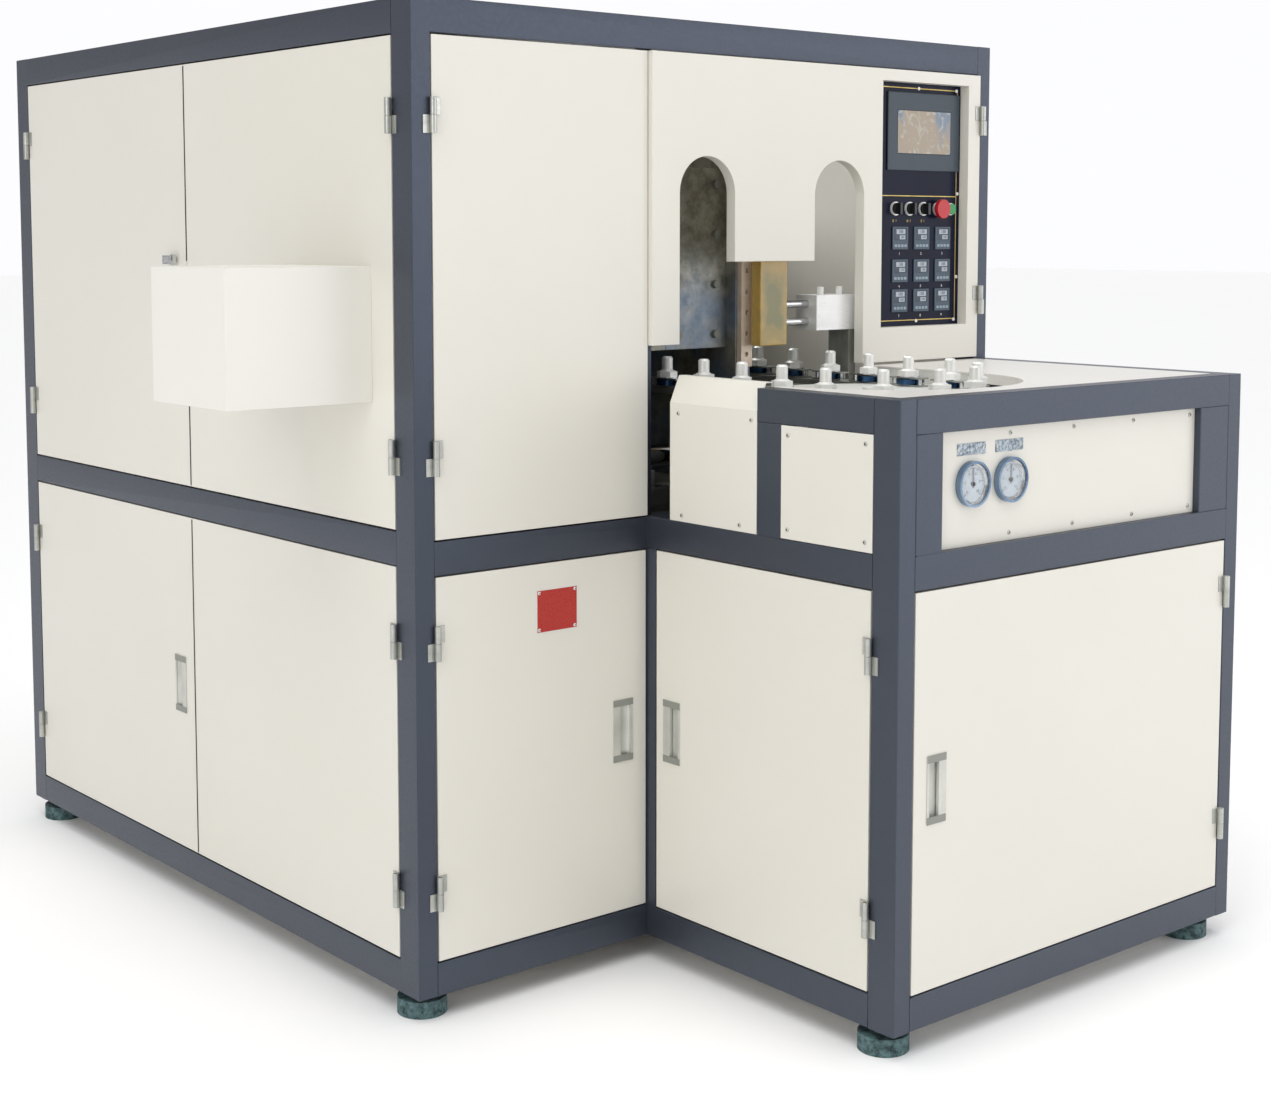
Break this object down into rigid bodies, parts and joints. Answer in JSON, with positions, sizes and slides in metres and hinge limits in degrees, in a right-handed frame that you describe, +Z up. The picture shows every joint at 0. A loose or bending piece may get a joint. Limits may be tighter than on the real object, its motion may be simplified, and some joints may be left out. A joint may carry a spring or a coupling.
{
  "type": "blow moulding machine",
  "caption": "Linear stretch blow moulding machine: tall cabinet with clamp, mould and oven, and a low loading cabinet with a chain of mandrels.",
  "frame": {"origin": "on the floor, under the middle of the machine's overall box", "axes": "+Z up, -Y out of the low cabinet's front, +X along the front to the right"},
  "size_m": [1.787, 2.328, 1.8],
  "materials": {
    "frame_paint": "satin powder coat",
    "panel_paint": "satin powder coat",
    "deck_paint": "satin powder coat",
    "zinc_steel": "zinc plated",
    "foot_rubber": "matt",
    "machined_steel": "ground",
    "chrome_rod": "hard chrome",
    "aluminium_body": "anodised",
    "mould_aluminium": "milled",
    "amber_block": "translucent polyurethane",
    "control_black": "printed film",
    "case_plastic": "moulded",
    "screen_glass": "clear",
    "needle_black": "matt",
    "stop_red": "moulded",
    "start_green": "moulded",
    "knob_black": "moulded",
    "service_grey": "moulded",
    "tank_blue": "gloss paint"
  },
  "bodies": {
    "machine": {"tall_frame": "frame_paint", "low_frame": "frame_paint", "levelling_feet": "foot_rubber", "fixed_panels": "panel_paint", "deck_plate": "deck_paint", "guard_cover": "panel_paint", "side_access_panel": "panel_paint", "gauge_panel": "panel_paint", "gauge_cases": "zinc_steel", "gauge_glasses": "screen_glass", "panel_fittings": "zinc_steel", "frame_hinge_leaves": "zinc_steel", "chain_links": "machined_steel", "mandrels": "chrome_rod", "gear_motor": "tank_blue", "machine_bed": "machined_steel", "mould_bridge": "machined_steel", "transfer_cylinder": "aluminium_body", "oven": "aluminium_body", "electrical_plate": "service_grey", "air_supply": "tank_blue"},
    "left_needle": {"gauge_needle_1": "needle_black"},
    "right_needle": {"gauge_needle_2": "needle_black"},
    "upper_front_door": {"front_door_upper": "panel_paint"},
    "lower_front_door": {"front_door_lower": "panel_paint", "front_lower_handle": "zinc_steel"},
    "upper_side_front_door": {"side_door_upper_front": "panel_paint"},
    "upper_side_back_door": {"side_door_upper_back": "panel_paint"},
    "latch": {"door_latch": "zinc_steel"},
    "lower_side_front_door": {"side_door_lower_front": "panel_paint"},
    "lower_side_back_door": {"side_door_lower_back": "panel_paint", "side_lower_handle": "zinc_steel"},
    "arch_door": {"window_door": "panel_paint", "control_plate": "control_black", "screen_case": "case_plastic", "screen_glass": "screen_glass", "temperature_controllers": "case_plastic", "plate_fittings": "zinc_steel"},
    "knob_1": {"selector_1": "knob_black"},
    "knob_2": {"selector_2": "knob_black"},
    "knob_3": {"selector_3": "knob_black"},
    "stop_push": {"stop_button": "stop_red"},
    "start_push": {"start_button": "start_green"},
    "left_low_door": {"low_left_door": "panel_paint", "low_left_handle": "zinc_steel"},
    "front_low_door": {"low_front_door": "panel_paint", "low_front_handle": "zinc_steel"},
    "turning_disc": {"front_wheel": "machined_steel"},
    "chain_drive": {"drive_wheel": "machined_steel"},
    "right_clamp": {"clamp_cylinder": "machined_steel", "right_platen": "machined_steel", "tie_bars": "chrome_rod", "right_mould": "mould_aluminium", "mould_fittings": "machined_steel"},
    "left_clamp": {"left_platen": "machined_steel", "left_mould": "mould_aluminium"},
    "base_lift": {"base_mould": "mould_aluminium"},
    "stretch": {"stretch_rods": "chrome_rod"},
    "pusher": {"transfer_rods": "chrome_rod", "pusher_block": "amber_block"}
  },
  "joints": [
    {"name": "upper_front_door_hinge", "type": "hinge", "parent": "machine", "child": "upper_front_door", "pos_m": [-0.565, -0.513, 1.3], "axis": [0, 0, 1], "range_deg": [-95, 0]},
    {"name": "lower_front_door_hinge", "type": "hinge", "parent": "machine", "child": "lower_front_door", "pos_m": [-0.565, -0.513, 0.45], "axis": [0, 0, 1], "range_deg": [-95, 0]},
    {"name": "upper_side_front_hinge", "type": "hinge", "parent": "machine", "child": "upper_side_front_door", "pos_m": [-0.6135, -0.4445, 1.3], "axis": [0, 0, 1], "range_deg": [0, 90]},
    {"name": "upper_side_back_hinge", "type": "hinge", "parent": "machine", "child": "upper_side_back_door", "pos_m": [-0.6135, 1.1025, 1.3], "axis": [0, 0, 1], "range_deg": [-95, 0]},
    {"name": "latch_turn", "type": "hinge", "parent": "upper_side_back_door", "child": "latch", "pos_m": [-0.6145, 0.377, 1.344], "axis": [1, 0, 0], "range_deg": [0, 90]},
    {"name": "lower_side_front_hinge", "type": "hinge", "parent": "machine", "child": "lower_side_front_door", "pos_m": [-0.6135, -0.4445, 0.45], "axis": [0, 0, 1], "range_deg": [0, 95]},
    {"name": "lower_side_back_hinge", "type": "hinge", "parent": "machine", "child": "lower_side_back_door", "pos_m": [-0.6135, 1.1025, 0.45], "axis": [0, 0, 1], "range_deg": [-95, 0]},
    {"name": "arch_door_hinge", "type": "hinge", "parent": "machine", "child": "arch_door", "pos_m": [0.852, -0.525, 1.45], "axis": [0, 0, 1], "range_deg": [0, 95]},
    {"name": "low_left_door_hinge", "type": "hinge", "parent": "machine", "child": "left_low_door", "pos_m": [-0.0885, -1.0895, 0.45], "axis": [0, 0, 1], "range_deg": [0, 95]},
    {"name": "low_front_door_hinge", "type": "hinge", "parent": "machine", "child": "front_low_door", "pos_m": [0.852, -1.158, 0.45], "axis": [0, 0, 1], "range_deg": [0, 95]},
    {"name": "selector_1_turn", "type": "hinge", "parent": "arch_door", "child": "knob_1", "pos_m": [0.6105, -0.493, 1.45], "axis": [0, 1, 0], "range_deg": [-45, 45]},
    {"name": "selector_2_turn", "type": "hinge", "parent": "arch_door", "child": "knob_2", "pos_m": [0.6545, -0.493, 1.45], "axis": [0, 1, 0], "range_deg": [-45, 45]},
    {"name": "selector_3_turn", "type": "hinge", "parent": "arch_door", "child": "knob_3", "pos_m": [0.6975, -0.493, 1.45], "axis": [0, 1, 0], "range_deg": [-45, 45]},
    {"name": "stop_button_travel", "type": "slide", "parent": "arch_door", "child": "stop_push", "axis": [0, 1, 0], "range_m": [0, 0.005], "stiffness_N_per_m": 1500},
    {"name": "start_button_travel", "type": "slide", "parent": "arch_door", "child": "start_push", "axis": [0, 1, 0], "range_m": [0, 0.003], "stiffness_N_per_m": 800},
    {"name": "left_needle_turn", "type": "hinge", "parent": "machine", "child": "left_needle", "pos_m": [0.1115, -1.143, 0.971], "axis": [0, 1, 0], "range_deg": [0, 270], "stiffness_Nm_per_rad": 0.02},
    {"name": "right_needle_turn", "type": "hinge", "parent": "machine", "child": "right_needle", "pos_m": [0.2115, -1.143, 0.971], "axis": [0, 1, 0], "range_deg": [0, 270], "stiffness_Nm_per_rad": 0.02},
    {"name": "chain_drive_turn", "type": "hinge", "parent": "machine", "child": "chain_drive", "pos_m": [0.2485, 0.779, 1.09], "axis": [0, 0, 1], "continuous": true},
    {"name": "turning_disc_turn", "type": "hinge", "parent": "machine", "child": "turning_disc", "pos_m": [0.2485, -0.791, 1.09], "axis": [0, 0, 1], "continuous": true},
    {"name": "right_clamp_travel", "type": "slide", "parent": "machine", "child": "right_clamp", "axis": [1, 0, 0], "range_m": [0, 0.06]},
    {"name": "left_clamp_travel", "type": "slide", "parent": "machine", "child": "left_clamp", "axis": [-1, 0, 0], "range_m": [0, 0.06]},
    {"name": "base_mould_travel", "type": "slide", "parent": "machine", "child": "base_lift", "axis": [0, 0, 1], "range_m": [0, 0.045]},
    {"name": "stretch_travel", "type": "slide", "parent": "machine", "child": "stretch", "axis": [0, 0, 1], "range_m": [0, 0.25]},
    {"name": "pusher_travel", "type": "slide", "parent": "machine", "child": "pusher", "axis": [-1, 0, 0], "range_m": [0, 0.05]}
  ],
  "couplings": [
    {"joint": "left_clamp_travel", "follows": "right_clamp_travel", "ratio": 1},
    {"joint": "turning_disc_turn", "follows": "chain_drive_turn", "ratio": 1}
  ]
}
